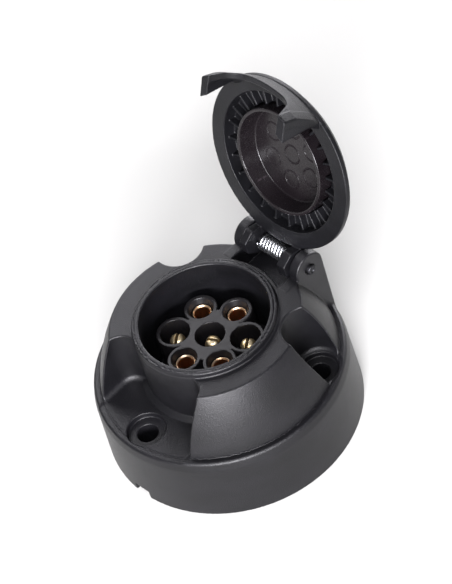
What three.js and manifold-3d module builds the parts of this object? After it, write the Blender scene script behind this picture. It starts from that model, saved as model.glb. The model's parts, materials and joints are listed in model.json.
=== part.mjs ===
// Seven-contact trailer wiring socket, flange mounted, with its hinged lid open.
// Millimetres. +Z is the socket's axis, pointing out of its mouth, and z = 0 is the mounting face.
// The hinge is on the +Y side and its axis runs along X.

import * as THREE from 'three';
import { mergeVertices } from 'three/addons/utils/BufferGeometryUtils.js';
import Module from 'manifold-3d';

// Driving dimensions of the housing, from the skirt up to the rim
const BASE_R = 41.4;
const SKIRT_TAPER = 0.7;
const SHOULDER_Z = 23.9;
const SHOULDER_H = 3.1;
const FLOOR_Z = 23.6;
const DOME_FOOT = [37.85, 24.4];
const DOME_BULGE = [35.5, 34.5];
const DOME_TOP = [30.3, 43.9];
const PLATEAU_R = 29.9;
const PLATEAU_Z = 44.1;
const RIM_R = 22.8;
const RIM_Z = 45.95;
const MOUTH_R = 20.5;
const COLLAR_END_Z = 16;
const WALL = 2.4;
const DRAIN_HALF_X = 2.85;
const DRAIN_Z = 3;

// Mounting screws, a third of a turn apart on one circle
const SCREW_CIRCLE_R = 32.33;
const SCREW_ANGLES = [30, 150, 270];
const SCREW_HOLE_R = 3.3;
const SEAT_R = 6.2;
const SEAT_DEPTH = 1.9;
const POCKET_R = 7.8;
const BOSS_R = 6.6;
const RECESS_HALF_X = 19.4;
const RECESS_BACK_Y = -18.6;
const RECESS_CORNER = 5;
const COLLAR_FOOT = [2, 1.2];

// Hinge
const HINGE_Y = 33;
const HINGE_Z = 44.8;
const EAR_R = 5.6;
const EAR_OUT_X = 13.9;
const EAR_IN_X = 10.3;
const BLOCK_BACK_Y = HINGE_Y + EAR_R;
const BLOCK_ROOT_Z = 19.9;
const BLOCK_HOLLOW_Z = 10;
const WELL_FRONT_R = 24.4;
const WELL_BOX_Y = 20;
const WELL_Z = 36.6;
const WELL_BACK_TOP_Z = 40;
const PIN_R = 1.6;
const PIN_CLEARANCE = 0.08;
const PIN_END_X = [-14.4, 15];
const PIN_CHAMFER = 0.3;
const PIN_DIMPLE = [0.8, 0.4];
const PIN_SIDES = 24;
const OPEN_DEG = 106.7;

// Lid, described closed, with its flange just above the plateau
const FLANGE_Z = 44.5;
const LID_R = 28.8;
const LID_EDGE = 1.8;
const GROOVE_R = 23.4;
const GROOVE_TOP_Z = 49;
const CUP_R = 17.8;
const CUP_MOUTH_R = 16.6;
const CUP_FLOOR_R = 16;
const CUP_FLOOR_Z = 50.7;
const CUP_BACK_Z = 51.8;
const LID_TOP_Z = 54.2;
const LID_CROWN = [[2.4, 3], [5.6, 5.8], [9, 8]];
const RIB_COUNT = 24;
const RIB_HALF = 0.4;
const RIB_Z = 46.45;
const CLAW_HALF_X = 17.3;
const CLAW_PLATE = 2.9;
const CLAW_DROP = 14.7;
const CLAW_SIDE_DROP = 15.65;
const CLAW_TIP_R = 35;
const CLAW_WALL = 2.2;
const CLAW_BENDS = [[31, 4.2], [33.5, 9.6]];
const CLAW_BACK_Y = -20;
const ARCH_TOP = 6.2;
const ARCH_FLAT_X = 4;
const LUG_X = [[-9.8, -7], [6.5, 9.8]];
const LUG = [
  [27.6, 44.7], [27.6, 40.7], [31.2, 37.5], [35.3, 38.9], [37, 42.5], [37.4, 45.5], [35.5, 48.5],
  [32.5, 49.2], [26, 49],
];
const HINGE_TAB = [[23.8, 44.8], [32, 44.8], [34, 48], [32.5, 49.2], [24.8, 49.5]];

// Spring
const SPRING_X = [-6.3, 5.8];
const SPRING_MEAN_R = 2.45;
const SPRING_WIRE_R = 0.45;
const SPRING_TURNS = 10;
const SPRING_LEG = 1.5;
const SPRING_POCKET_R = 3.65;
const SPRING_POCKET_TOP_Z = 46.5;

// Contact insert, and the brass contacts in it
const CONTACT_CIRCLE_R = 11.46;
const FEMALE_ANGLES = [90, 150, 270, 330];
const MALE_ANGLES = [30, 210];
const CENTRE_SLOT_DEG = 30;
const OUTER_SLOT_DEG = -60;
const INSERT_TOP_Z = 36.9;
const INSERT_CORE_R = 10.06;
const INSERT_SHOULDER_Z = 22;
const INSERT_DISC_R = 20.2;
const INSERT_DISC_Z = 20.5;
const PIN_TOWER_R = 6;
const PIN_WELL_R = 4.7;
const TUBE_TOWER_R = 5.3;
const TUBE_WELL_R = 3.6;
const CONTACT_R = 3.1;
const TERMINAL_HOLE_R = 3.4;
const TERMINAL_Z = 3.5;
const TERMINAL_SCREW_Z = 7.5;
const TERMINAL_SCREW_SEAT = 3.5;
const CLAMP_HOLE_R = 1.6;
const WIRE_BORE_R = 1.75;
const WIRE_BORE_TOP_Z = 11.5;
const FEMALE_BORE_R = 2.5;
const FEMALE_TOP_Z = 34.9;
const FEMALE_LEAD = 0.4;
const MALE_R = 2.5;
const MALE_TOP_Z = 34.4;
const MALE_TIP = [[1, 2], [0.92, 1], [0.7, 0.35], [0.35, 0.06]];
const SLOT_HALF = 0.45;
const SLOT_DEPTH = 9;

// The insert's rear flange, its two ears and the pillars that they are screwed to
const INSERT_FLANGE_Z = [13.4, 15.7];
const INSERT_SCREW_X = 25.6;
const INSERT_EAR_R = 3.6;
const INSERT_EAR_HALF_Y = 3.2;
const INSERT_EAR_HOLE_R = 1.8;
const PILLAR_R = 3.4;
const PILLAR_TOP_Z = 30;
const PILOT_R = 1.25;
const PILOT_TOP_Z = 28;

// Slotted screws: shank radius, head radius, shank length and head height
const CLAMP_SCREW = [1.3, 2.1, 1.7, 1.5];
const FIXING_SCREW = [0.95, 2.9, 10, 2];
const DRIVER_SLOT_HALF = 0.25;
const DRIVER_SLOT_DEPTH = 0.6;

// Facets round a turned surface, by its size
const BODY_SIDES = 48;
const BORE_SIDES = 24;
const CONTACT_SIDES = 16;
const SCREW_SIDES = 12;
const EAR_SIDES = 32;
const DOME_STEPS = 7;

// Cutting tools run this far past the part, and meeting parts share this much before they are joined
const BIG = 120;
const PAST = 1;
const LAP = 0.3;
const CORNER = 0.4;
const rad = THREE.MathUtils.degToRad;
const wasm = await Module();
wasm.setup();

// Solids from three.js geometries

function solid(geometry) {
  geometry.deleteAttribute('normal');
  geometry.deleteAttribute('uv');
  const merged = mergeVertices(geometry, 1e-4);
  const place = merged.getAttribute('position').array;
  const kept = [];
  let volume = 0;
  for (let i = 0; i < merged.index.count; i += 3) {
    const [a, b, c] = [0, 1, 2].map((k) => merged.index.getX(i + k));
    if (a === b || b === c || c === a) continue;
    kept.push(a, b, c);
    const [p, q, r] = [a, b, c].map((v) => new THREE.Vector3().fromArray(place, v * 3));
    volume += p.dot(q.cross(r));
  }
  if (volume < 0) kept.reverse();
  const mesh = { numProp: 3, vertProperties: place, triVerts: Uint32Array.from(kept) };
  return new wasm.Manifold(new wasm.Mesh(mesh));
}

function lathe(profile, segments = BODY_SIDES) {
  const points = profile.map(([r, z]) => new THREE.Vector2(r, z));
  if (profile[0][0] > 0) points.push(points[0].clone());
  return solid(new THREE.LatheGeometry(points, segments).rotateX(Math.PI / 2));
}

function cylinder(r, low, high, x = 0, y = 0, segments = BORE_SIDES) {
  return lathe([[0, low], [r, low], [r, high], [0, high]], segments).translate([x, y, 0]);
}

function box(x, y, z) {
  const geometry = new THREE.BoxGeometry(x[1] - x[0], y[1] - y[0], z[1] - z[0]);
  geometry.translate((x[0] + x[1]) / 2, (y[0] + y[1]) / 2, (z[0] + z[1]) / 2);
  return solid(geometry);
}

function plate(shape, low, high, curveSegments = 8) {
  const options = { depth: high - low, bevelEnabled: false, curveSegments };
  return solid(new THREE.ExtrudeGeometry(shape, options)).translate([0, 0, low]);
}

// A cylinder along X at a height y, z
function rod(r, x, y, z, segments = PIN_SIDES) {
  return cylinder(r, x[0], x[1], 0, 0, segments).rotate([0, 90, 0]).translate([0, y, z]);
}

// An outline in the YZ plane, swept along X
function sidePlate(points, x) {
  const shape = new THREE.Shape(points.map(([y, z]) => new THREE.Vector2(y, z)));
  const geometry = new THREE.ExtrudeGeometry(shape, { depth: x[1] - x[0], bevelEnabled: false });
  geometry.rotateY(Math.PI / 2).rotateX(Math.PI / 2).translate(x[0], 0, 0);
  return solid(geometry);
}

function polar(r, degrees) {
  return [r * Math.cos(rad(degrees)), r * Math.sin(rad(degrees))];
}

function mesh(name, shape, material) {
  const raw = shape.getMesh();
  const geometry = new THREE.BufferGeometry();
  geometry.setAttribute('position', new THREE.BufferAttribute(raw.vertProperties, 3));
  geometry.setIndex(new THREE.BufferAttribute(raw.triVerts, 1));
  geometry.computeVertexNormals();
  const part = new THREE.Mesh(geometry, material);
  part.name = name;
  return part;
}

function material(color, roughness, metalness) {
  return () => new THREE.MeshStandardMaterial({ color, roughness, metalness });
}

const bodyPlastic = material(0x4a4a4e, 0.55, 0);
const insertPlastic = material(0x3a3a3d, 0.5, 0);
const lidPlastic = material(0x47474b, 0.5, 0);
const cupPlastic = material(0x19171a, 0.4, 0);
const brass = material(0xc9a45c, 0.28, 1);
const zincSteel = material(0xc9cbd0, 0.3, 1);

// Housing

function domeProfile(offset) {
  const corners = [DOME_FOOT, DOME_BULGE, DOME_TOP].map(([r, z]) => {
    return new THREE.Vector2(r - offset, z - offset);
  });
  return new THREE.QuadraticBezierCurve(...corners).getPoints(DOME_STEPS).map((p) => [p.x, p.y]);
}

function atScrews(angles, r, low, high) {
  return angles.map((angle) => cylinder(r, low, high, ...polar(SCREW_CIRCLE_R, angle)));
}

function atInsertScrews(r, low, high, sides) {
  return [-INSERT_SCREW_X, INSERT_SCREW_X].map((x) => cylinder(r, low, high, x, 0, sides));
}

function makeHousing() {
  const pocketAngles = SCREW_ANGLES.slice(0, 2);
  const shoulderR = BASE_R - SKIRT_TAPER;
  const outside = lathe([
    [0, 0], [BASE_R, 0], [shoulderR, SHOULDER_Z - SHOULDER_H],
    [shoulderR - 0.35, SHOULDER_Z - 1.5], [shoulderR - 1.2, SHOULDER_Z - 0.4], [shoulderR - 2.3, SHOULDER_Z],
    [DOME_FOOT[0] + 0.1, SHOULDER_Z - 0.4], ...domeProfile(0),
    [PLATEAU_R, PLATEAU_Z], [RIM_R, PLATEAU_Z], [RIM_R, RIM_Z], [0, RIM_Z],
  ]);
  const [footOut, footUp] = COLLAR_FOOT;
  const collar = lathe([
    [0, COLLAR_END_Z], [RIM_R + footOut, COLLAR_END_Z], [RIM_R + footOut, FLOOR_Z],
    [RIM_R, FLOOR_Z + footUp], [RIM_R, RIM_Z], [0, RIM_Z],
  ]);
  const recesses = wasm.Manifold.union([
    frontRecess(RECESS_HALF_X, RECESS_BACK_Y, FLOOR_Z, BIG),
    ...atScrews(pocketAngles, POCKET_R, FLOOR_Z, BIG),
  ]).subtract(collar);

  const inside = lathe([
    [0, -PAST], [BASE_R - WALL, -PAST], [BASE_R - WALL - SKIRT_TAPER, SHOULDER_Z - 4],
    ...domeProfile(WALL), [0, PLATEAU_Z - WALL - 0.2],
  ]);
  const keptInside = wasm.Manifold.union([
    frontRecess(RECESS_HALF_X + WALL, RECESS_BACK_Y + WALL, FLOOR_Z - WALL, BIG),
    ...atScrews(pocketAngles, POCKET_R + WALL, FLOOR_Z - WALL, BIG),
    ...atScrews(SCREW_ANGLES, BOSS_R, -PAST, SHOULDER_Z),
    ...atInsertScrews(PILLAR_R, COLLAR_END_Z, PILLAR_TOP_Z, CONTACT_SIDES),
    cylinder(RIM_R + 0.2, COLLAR_END_Z, BIG, 0, 0, BODY_SIDES),
    box([-EAR_OUT_X, EAR_OUT_X], [WELL_BOX_Y - WALL, BIG], [WELL_Z - WALL, BIG]),
  ]);
  const blockHollow = box(
    [-EAR_OUT_X + WALL, EAR_OUT_X - WALL],
    [RIM_R + WALL, BLOCK_BACK_Y - WALL],
    [BLOCK_HOLLOW_Z, WELL_Z - WALL],
  );
  const wellX = [-EAR_IN_X, EAR_IN_X];
  const well = wasm.Manifold.union([
    box(wellX, [WELL_BOX_Y, BLOCK_BACK_Y - WALL], [WELL_Z, BIG]),
    box(wellX, [WELL_BOX_Y, BIG], [WELL_BACK_TOP_Z, BIG]),
  ]).subtract(cylinder(WELL_FRONT_R, 0, PLATEAU_Z, 0, 0, BODY_SIDES));

  const cuts = wasm.Manifold.union([
    inside.add(blockHollow).subtract(keptInside),
    recesses,
    cylinder(MOUTH_R, COLLAR_END_Z - PAST, BIG, 0, 0, BODY_SIDES),
    box([-DRAIN_HALF_X, DRAIN_HALF_X], [-BASE_R - 5, -BASE_R + 5], [-PAST, DRAIN_Z]),
    ...atScrews(SCREW_ANGLES, SCREW_HOLE_R, -PAST, BIG),
    ...atScrews(SCREW_ANGLES, SEAT_R, FLOOR_Z - SEAT_DEPTH, FLOOR_Z + PAST),
    ...atInsertScrews(PILOT_R, COLLAR_END_Z - PAST, PILOT_TOP_Z, SCREW_SIDES),
    well,
    rod(PIN_R + PIN_CLEARANCE, [-20, 20], HINGE_Y, HINGE_Z),
  ]);
  return outside.add(hingeBlock()).subtract(cuts);
}

// The front recess in plan: straight sides and rounded back corners
function frontRecess(halfX, backY, low, high) {
  const frontY = -BASE_R - 5;
  const shape = new THREE.Shape();
  shape.moveTo(-halfX, frontY);
  shape.lineTo(halfX, frontY);
  shape.lineTo(halfX, backY - RECESS_CORNER);
  shape.quadraticCurveTo(halfX, backY, halfX - RECESS_CORNER, backY);
  shape.lineTo(-halfX + RECESS_CORNER, backY);
  shape.quadraticCurveTo(-halfX, backY, -halfX, backY - RECESS_CORNER);
  return plate(shape, low, high, 4);
}

function hingeBlock() {
  const x = [-EAR_OUT_X, EAR_OUT_X];
  return wasm.Manifold.union([
    rod(EAR_R, x, HINGE_Y, HINGE_Z, EAR_SIDES),
    box(x, [WELL_FRONT_R, BLOCK_BACK_Y], [BLOCK_ROOT_Z, PLATEAU_Z]),
    box(x, [HINGE_Y, BLOCK_BACK_Y], [BLOCK_ROOT_Z, HINGE_Z]),
  ]);
}

// Contact insert: towers on a disc, clamped to the collar's end by a flange

const contacts = [
  { name: 'contact_pin_centre', male: true, r: 0, angle: 0, slot: CENTRE_SLOT_DEG },
  ...MALE_ANGLES.map((angle, i) => {
    return { name: `contact_pin_${i + 1}`, male: true, r: CONTACT_CIRCLE_R, angle, slot: OUTER_SLOT_DEG };
  }),
  ...FEMALE_ANGLES.map((angle, i) => {
    return { name: `contact_tube_${i + 1}`, male: false, r: CONTACT_CIRCLE_R, angle };
  }),
].sort((a, b) => a.r - b.r || a.angle - b.angle);

function makeInsert() {
  const ears = atInsertScrews(INSERT_EAR_R, ...INSERT_FLANGE_Z, CONTACT_SIDES);
  const earRoots = [-1, 1].map((side) => {
    const x = [side * 22, side * 26].sort((a, b) => a - b);
    return box(x, [-INSERT_EAR_HALF_Y, INSERT_EAR_HALF_Y], INSERT_FLANGE_Z);
  });
  const bodies = [
    cylinder(INSERT_DISC_R, COLLAR_END_Z - PAST, INSERT_DISC_Z, 0, 0, BODY_SIDES),
    cylinder(RIM_R, ...INSERT_FLANGE_Z, 0, 0, BODY_SIDES),
    cylinder(INSERT_CORE_R, INSERT_DISC_Z - PAST, INSERT_TOP_Z, 0, 0, 6),
    ...ears,
    ...earRoots,
  ];
  const cuts = atInsertScrews(INSERT_EAR_HOLE_R, 0, COLLAR_END_Z + PAST, SCREW_SIDES);
  for (const { male, r, angle } of contacts) {
    const [x, y] = polar(r, angle);
    bodies.push(cylinder(male ? PIN_TOWER_R : TUBE_TOWER_R, INSERT_DISC_Z - PAST, INSERT_TOP_Z, x, y));
    cuts.push(cylinder(male ? PIN_WELL_R : TUBE_WELL_R, INSERT_SHOULDER_Z - LAP, BIG, x, y, CONTACT_SIDES));
    cuts.push(cylinder(TERMINAL_HOLE_R, 0, INSERT_SHOULDER_Z, x, y, CONTACT_SIDES));
  }
  return wasm.Manifold.union(bodies).subtract(wasm.Manifold.union(cuts));
}

// Brass contacts: a terminal with a wire bore and a cross screw behind, a pin or a tube in front

function terminalCuts(screwAngle) {
  const screwHole = cylinder(CLAMP_HOLE_R, 0, 2 * CONTACT_R, 0, 0, SCREW_SIDES);
  return cylinder(WIRE_BORE_R, TERMINAL_Z - PAST, WIRE_BORE_TOP_Z, 0, 0, SCREW_SIDES)
    .add(screwHole.rotate([0, 90, screwAngle]).translate([0, 0, TERMINAL_SCREW_Z]));
}

function makeTube(screwAngle) {
  const body = lathe([
    [0, TERMINAL_Z], [CONTACT_R, TERMINAL_Z], [CONTACT_R, FEMALE_TOP_Z - FEMALE_LEAD],
    [CONTACT_R - LAP, FEMALE_TOP_Z], [0, FEMALE_TOP_Z],
  ], CONTACT_SIDES);
  const bore = lathe([
    [0, COLLAR_END_Z], [FEMALE_BORE_R, COLLAR_END_Z + 1], [FEMALE_BORE_R, FEMALE_TOP_Z - LAP],
    [FEMALE_BORE_R + FEMALE_LEAD, FEMALE_TOP_Z + 0.1], [0, FEMALE_TOP_Z + 0.1],
  ], CONTACT_SIDES);
  return body.subtract(bore.add(terminalCuts(screwAngle)));
}

function makePin(screwAngle, slotAngle) {
  const shoulder = INSERT_SHOULDER_Z - 0.1;
  const body = lathe([
    [0, TERMINAL_Z], [CONTACT_R, TERMINAL_Z], [CONTACT_R, shoulder - 0.1], [MALE_R, shoulder],
    ...MALE_TIP.map(([r, drop]) => [MALE_R * r, MALE_TOP_Z - drop]), [0, MALE_TOP_Z],
  ], CONTACT_SIDES);
  const slot = box([-5, 5], [-SLOT_HALF, SLOT_HALF], [MALE_TOP_Z - SLOT_DEPTH, MALE_TOP_Z + PAST]);
  return body.subtract(slot.rotate([0, 0, slotAngle]).add(terminalCuts(screwAngle)));
}

// A cheese-head screw along +Z, its slotted head's seat at z = 0 and its shank below
function slottedScrew(shankR, headR, length, head) {
  const body = lathe([
    [0, -length], [shankR, -length], [shankR, 0], [headR, 0], [headR, head - LAP],
    [headR - LAP, head], [0, head],
  ], SCREW_SIDES);
  const slotZ = [head - DRIVER_SLOT_DEPTH, head + PAST];
  return body.subtract(box([-headR - PAST, headR + PAST], [-DRIVER_SLOT_HALF, DRIVER_SLOT_HALF], slotZ));
}

// Lid, modelled closed

// Radius and distance below the flange of the claw's outside, down to its tip
const clawOutline = [[LID_R - 0.3, -1], [LID_R - 0.2, 0], ...CLAW_BENDS, [CLAW_TIP_R, CLAW_DROP]];

function clawProfile(outline) {
  return outline.map(([r, drop]) => [r, FLANGE_Z - drop]);
}

function makeClaw() {
  const wallTop = LID_R - 3.4;
  const wall = lathe(clawProfile([
    [wallTop, -1], ...clawOutline, [CLAW_TIP_R - CLAW_WALL, CLAW_DROP + 0.3],
    ...CLAW_BENDS.map(([r, drop]) => [r - CLAW_WALL, drop]).reverse(), [wallTop, 0.2],
  ]));
  const filled = lathe(clawProfile([
    [0, -1], ...clawOutline, [LID_R - 0.1, CLAW_SIDE_DROP], [0, CLAW_SIDE_DROP],
  ]));
  const underLid = cylinder(LID_R - 0.3, 0, FLANGE_Z + 0.2, 0, 0, BODY_SIDES);

  const y = [-BASE_R, CLAW_BACK_Y];
  const inner = CLAW_HALF_X - CLAW_PLATE;
  const sides = box([-CLAW_HALF_X, -inner], y, [0, BIG]).add(box([inner, CLAW_HALF_X], y, [0, BIG]));
  const front = wall.intersect(box([-CLAW_HALF_X, CLAW_HALF_X], y, [0, BIG])).subtract(clawArch(inner));
  return front.add(filled.subtract(underLid).intersect(sides));
}

// The arch that opens the claw's front wall between its side plates
function clawArch(half) {
  const foot = -CLAW_DROP + 0.5;
  const bend = -ARCH_TOP - 4;
  const arch = new THREE.Shape();
  arch.moveTo(-half - 0.6, foot - 5.5);
  arch.lineTo(half + 0.6, foot - 5.5);
  arch.lineTo(half, foot);
  arch.bezierCurveTo(half - 2, bend, half - 3, -ARCH_TOP, ARCH_FLAT_X, -ARCH_TOP);
  arch.lineTo(-ARCH_FLAT_X, -ARCH_TOP);
  arch.bezierCurveTo(-half + 3, -ARCH_TOP, -half + 2, bend, -half, foot);
  return plate(arch, 10, BIG).rotate([90, 0, 0]).translate([0, 0, FLANGE_Z]);
}

function makeRibs() {
  const rib = box([CUP_R + 0.4, GROOVE_R + LAP], [-RIB_HALF, RIB_HALF], [RIB_Z, GROOVE_TOP_Z + 0.5]);
  return Array.from({ length: RIB_COUNT }, (_, i) => rib.rotate([0, 0, (i + 0.5) * 360 / RIB_COUNT]));
}

// Two lugs that turn about the hinge pin, with a cover between them over the spring's pocket
function makeHinge() {
  const outer = [LUG_X[0][0], LUG_X[1][1]];
  const pocketX = [LUG_X[0][1], LUG_X[1][0]];
  const pocket = rod(SPRING_POCKET_R, pocketX, HINGE_Y, HINGE_Z)
    .add(box(pocketX, [LUG[0][0] - LAP, HINGE_Y], [LUG[0][1] - 1, SPRING_POCKET_TOP_Z]));
  return wasm.Manifold.union([
    sidePlate(HINGE_TAB, outer).subtract(pocket),
    ...LUG_X.map((x) => sidePlate(LUG, x)),
  ]).subtract(rod(PIN_R + PIN_CLEARANCE, [-20, 20], HINGE_Y, HINGE_Z));
}

function makeLid() {
  const linerR = CUP_R + 0.3;
  const linerBackZ = CUP_BACK_Z + 0.3;
  const shell = lathe([
    [0, linerBackZ], [linerR, linerBackZ], [linerR, GROOVE_TOP_Z], [GROOVE_R, GROOVE_TOP_Z],
    [GROOVE_R, FLANGE_Z], [LID_R - 0.2, FLANGE_Z], [LID_R, FLANGE_Z + 0.2],
    [LID_R, FLANGE_Z + LID_EDGE - CORNER], [LID_R - CORNER, FLANGE_Z + LID_EDGE],
    ...LID_CROWN.map(([inset, rise]) => [LID_R - inset, FLANGE_Z + rise]),
    [LID_R - 16, LID_TOP_Z - 0.5], [0, LID_TOP_Z],
  ]);
  return wasm.Manifold.union([shell, ...makeRibs(), makeHinge(), makeClaw()]);
}

function makeCup() {
  return lathe([
    [0, CUP_FLOOR_Z], [CUP_FLOOR_R, CUP_FLOOR_Z], [CUP_MOUTH_R, FLANGE_Z + CORNER],
    [CUP_MOUTH_R + CORNER, FLANGE_Z], [CUP_R - CORNER, FLANGE_Z], [CUP_R, FLANGE_Z + CORNER],
    [CUP_R, CUP_BACK_Z], [0, CUP_BACK_Z],
  ]);
}

// Hinge pin and spring

function makeHingePin() {
  const [low, high] = PIN_END_X;
  const [dimpleR, dimpleDepth] = PIN_DIMPLE;
  return lathe([
    [0, low], [PIN_R - PIN_CHAMFER, low], [PIN_R, low + PIN_CHAMFER], [PIN_R, high - PIN_CHAMFER],
    [PIN_R - PIN_CHAMFER, high], [dimpleR, high], [0, high - dimpleDepth],
  ], PIN_SIDES).rotate([0, 90, 0]).translate([0, HINGE_Y, HINGE_Z]);
}

// Starts at the front of the coil, heading down
class CoilCurve extends THREE.Curve {
  getPoint(t, target = new THREE.Vector3()) {
    const turn = Math.PI + t * SPRING_TURNS * 2 * Math.PI;
    const x = THREE.MathUtils.lerp(SPRING_X[0], SPRING_X[1], t);
    return target.set(x, SPRING_MEAN_R * Math.cos(turn), SPRING_MEAN_R * Math.sin(turn));
  }
}

function makeSpring() {
  const wire = new THREE.Shape();
  wire.absarc(0, 0, SPRING_WIRE_R, 0, 2 * Math.PI);
  const stepsPerTurn = 9;
  const options = { steps: SPRING_TURNS * stepsPerTurn, curveSegments: 3, extrudePath: new CoilCurve() };
  const leg = cylinder(SPRING_WIRE_R, 0, SPRING_LEG, SPRING_X[0], -SPRING_MEAN_R, 6);
  return solid(new THREE.ExtrudeGeometry(wire, options)).add(leg).translate([0, HINGE_Y, HINGE_Z]);
}

// Assembly

const socket = new THREE.Group();
socket.add(mesh('housing', makeHousing(), bodyPlastic()));
socket.add(mesh('contact_insert', makeInsert(), insertPlastic()));

contacts.forEach((contact, index) => {
  const { name, male, r, angle, slot } = contact;
  const place = new THREE.Group();
  place.position.set(...polar(r, angle), 0);
  place.add(mesh(name, male ? makePin(angle, slot) : makeTube(angle), brass()));
  const screw = mesh(`terminal_screw_${index + 1}`, slottedScrew(...CLAMP_SCREW), zincSteel());
  screw.position.set(...polar(TERMINAL_SCREW_SEAT, angle), TERMINAL_SCREW_Z);
  screw.quaternion.setFromUnitVectors(
    new THREE.Vector3(0, 0, 1), new THREE.Vector3(...polar(1, angle), 0),
  );
  place.add(screw);
  socket.add(place);
});

[-1, 1].forEach((side, index) => {
  const screw = mesh(`insert_screw_${index + 1}`, slottedScrew(...FIXING_SCREW), zincSteel());
  screw.position.set(side * INSERT_SCREW_X, 0, INSERT_FLANGE_Z[0] - LAP);
  screw.rotation.x = Math.PI;
  socket.add(screw);
});

socket.add(mesh('hinge_pin', makeHingePin(), zincSteel()));
socket.add(mesh('lid_spring', makeSpring(), zincSteel()));

const lidGroup = new THREE.Group();
lidGroup.position.set(0, HINGE_Y, HINGE_Z);
lidGroup.rotation.x = -rad(OPEN_DEG);
const closedFrame = new THREE.Group();
closedFrame.position.set(0, -HINGE_Y, -HINGE_Z);
closedFrame.add(mesh('lid', makeLid(), lidPlastic()), mesh('lid_cup', makeCup(), cupPlastic()));
lidGroup.add(closedFrame);
socket.add(lidGroup);

// The origin is the middle of the footprint, on the mounting face, with the lid open
socket.updateMatrixWorld(true);
const extent = new THREE.Box3().setFromObject(socket, true);
socket.position.y = -(extent.min.y + extent.max.y) / 2;

export default socket;
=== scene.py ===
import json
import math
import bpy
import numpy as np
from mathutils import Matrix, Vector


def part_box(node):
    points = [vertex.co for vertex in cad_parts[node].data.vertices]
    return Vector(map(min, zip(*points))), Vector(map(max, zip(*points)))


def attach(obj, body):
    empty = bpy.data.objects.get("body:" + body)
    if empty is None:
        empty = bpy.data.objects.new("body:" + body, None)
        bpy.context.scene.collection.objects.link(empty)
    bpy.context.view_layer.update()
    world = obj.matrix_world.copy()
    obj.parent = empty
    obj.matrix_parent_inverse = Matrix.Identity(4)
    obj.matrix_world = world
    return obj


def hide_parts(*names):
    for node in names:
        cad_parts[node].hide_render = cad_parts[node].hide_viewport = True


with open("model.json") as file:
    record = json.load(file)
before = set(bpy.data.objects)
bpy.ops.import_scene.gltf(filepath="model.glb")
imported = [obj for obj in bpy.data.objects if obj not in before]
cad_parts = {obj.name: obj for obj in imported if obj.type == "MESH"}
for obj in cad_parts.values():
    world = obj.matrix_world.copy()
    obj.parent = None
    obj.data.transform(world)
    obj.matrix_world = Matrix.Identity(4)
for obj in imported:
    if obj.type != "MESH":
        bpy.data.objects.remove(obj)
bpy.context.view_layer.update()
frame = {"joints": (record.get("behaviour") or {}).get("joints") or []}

# A seven-contact trailer wiring socket with its lid open: the fine surfaces round the CAD frame.
#
# Each moulding is a distance field, in millimetres in the socket's frame (x and y from the socket's axis,
# z from its mounting face), meshed once and put on the exact surface. Lid pieces are made shut and turned
# open about the hinge. Distances are negative inside.

MM = 0.001

# Places from the frame
low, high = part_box("housing")
BASE_R = (high.x - low.x) / 2 / MM
AXIS = Vector(((low.x + high.x) / 2, low.y + BASE_R * MM, low.z))
HINGE_JOINT = frame["joints"][0]
HINGE = (Vector(HINGE_JOINT["pos_m"]) - AXIS) / MM
OPEN = math.radians(HINGE_JOINT["range_deg"][1])


def node_box(node):
    """A CAD node's corners in the socket's frame, in millimetres."""
    a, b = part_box(node)
    return (a - AXIS) / MM, (b - AXIS) / MM


INSERT_LOW, INSERT_HIGH = node_box("contact_insert")
INSERT_TOP = INSERT_HIGH.z
PIN_LOW, PIN_HIGH = node_box("hinge_pin")
SPRING_LOW, SPRING_HIGH = node_box("lid_spring")
LID_R = (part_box("lid")[1].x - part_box("lid")[0].x) / 2 / MM
CUP_R = (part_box("lid_cup")[1].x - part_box("lid_cup")[0].x) / 2 / MM

# Housing
SKIRT_TAPER = 0.7
SHOULDER_R = BASE_R - SKIRT_TAPER
SHOULDER_Z = 23.9
FLOOR_Z = 23.6
DOME_FOOT_R = 37.85
DOME_BULGE = (35.5, 34.5)
PLATEAU_R = 29.9
PLATEAU_Z = 44.1
RIM_R = 22.8
RIM_Z = 45.95
RIM_GROOVE_R = 22
RIM_GROOVE_WIRE_R = 0.3
RIM_GROOVE_LIFT = 0.12
MOUTH_R = 20.5
COLLAR_END_Z = 16
WALL = 2.4
SCREW_CIRCLE_R = 32.33
SCREW_ANGLES = (30, 150, 270)
SCREW_HOLE_R = 3.3
SEAT_R = 6.2
SEAT_DEPTH = 1.9
POCKET_R = 7.8
BOSS_R = 6.6
RECESS_X = 19.4
RECESS_Y = -18.6
RECESS_CORNER = 6
COLLAR_FOOT = (2, 1.2)
NOTCH_HALF = 2.85
NOTCH_Z = 3
NOTCH_DEPTH = 5
EAR_R = 5.6
EAR_OUT_X = 13.9
EAR_IN_X = 10.3
EAR_FOOT_Y = 22
EAR_FOOT_Z = SHOULDER_Z - 4
BACK_Y = HINGE.y + EAR_R
WELL_FRONT_R = 24.4
WELL_Y = 20
WELL_Z = 36.6
WELL_BACK_Z = 40
WELL_CORE_Z = 10
PIN_R = 1.6
PIN_PLAY = 0.12
DIMPLE_R = 0.95
DIMPLE_LIFT = 0.5
INSERT_SCREW_X = 25.6
INSERT_SCREW_BORE_R = 1.25
INSERT_SCREW_TOP_Z = 28
SCREW_LUG_R = 3.4

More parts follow.
